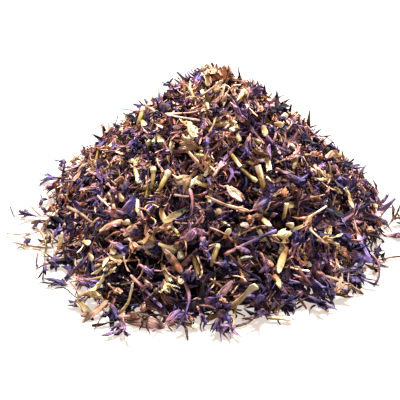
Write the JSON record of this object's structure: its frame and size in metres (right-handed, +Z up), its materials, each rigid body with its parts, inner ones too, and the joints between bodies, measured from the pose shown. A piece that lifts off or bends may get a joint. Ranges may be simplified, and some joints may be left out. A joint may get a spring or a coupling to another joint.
{
  "type": "heap of dried cornflower",
  "caption": "Low conical heap of loose dried cornflower florets with pale seeds, olive bracts and straw-coloured threads on it and round its foot, for resting on a flat surface.",
  "frame": {"origin": "on the surface that the heap lies on, under the middle of its foot", "axes": "+Z up; the view of the picture looks along +Y, so -Y is the heap's front and +X its right"},
  "size_m": [0.1378, 0.1294, 0.0548],
  "materials": {
    "violet": "dry, matt, crumpled petal tissue",
    "cream": "smooth, slightly glossy seed shell",
    "olive": "dry, matt, papery scale",
    "straw": "dry, matt, shrivelled strand"
  },
  "bodies": {
    "root": {"floret_heap": "violet", "seed_on_heap_01": "cream", "seed_on_heap_02": "cream", "bract_on_heap_01": "olive", "thread_on_heap_01": "straw", "seed_on_heap_03": "cream", "seed_on_heap_04": "cream", "bract_on_heap_02": "olive", "seed_on_heap_05": "cream", "thread_on_heap_02": "straw", "seed_on_heap_06": "cream", "bract_on_heap_03": "olive", "seed_on_heap_07": "cream", "thread_on_heap_03": "straw", "seed_on_heap_08": "cream", "bract_on_heap_04": "olive", "seed_on_heap_09": "cream", "seed_on_heap_10": "cream", "bract_on_heap_05": "olive", "thread_on_heap_04": "straw", "seed_on_heap_11": "cream", "seed_on_heap_12": "cream", "bract_on_heap_06": "olive", "thread_on_heap_05": "straw", "seed_on_heap_13": "cream", "seed_on_heap_14": "cream", "bract_on_heap_07": "olive", "seed_on_heap_15": "cream", "thread_on_heap_06": "straw", "seed_on_heap_16": "cream", "bract_on_heap_08": "olive", "seed_on_heap_17": "cream", "thread_on_heap_07": "straw", "seed_on_heap_18": "cream", "bract_on_heap_09": "olive", "seed_on_heap_19": "cream", "seed_on_heap_20": "cream", "bract_on_heap_10": "olive", "thread_on_heap_08": "straw", "floret_at_foot_01": "violet", "floret_at_foot_02": "violet", "thread_at_foot_01": "straw", "floret_at_foot_03": "violet", "floret_at_foot_04": "violet", "bract_at_foot_01": "olive", "floret_at_foot_05": "violet", "seed_at_foot_01": "cream", "floret_at_foot_06": "violet", "seed_at_foot_02": "cream", "floret_at_foot_07": "violet", "floret_at_foot_08": "violet", "thread_at_foot_02": "straw", "floret_at_foot_09": "violet", "floret_at_foot_10": "violet", "seed_at_foot_03": "cream", "floret_at_foot_11": "violet", "floret_at_foot_12": "violet", "floret_at_foot_13": "violet"}
  },
  "joints": []
}
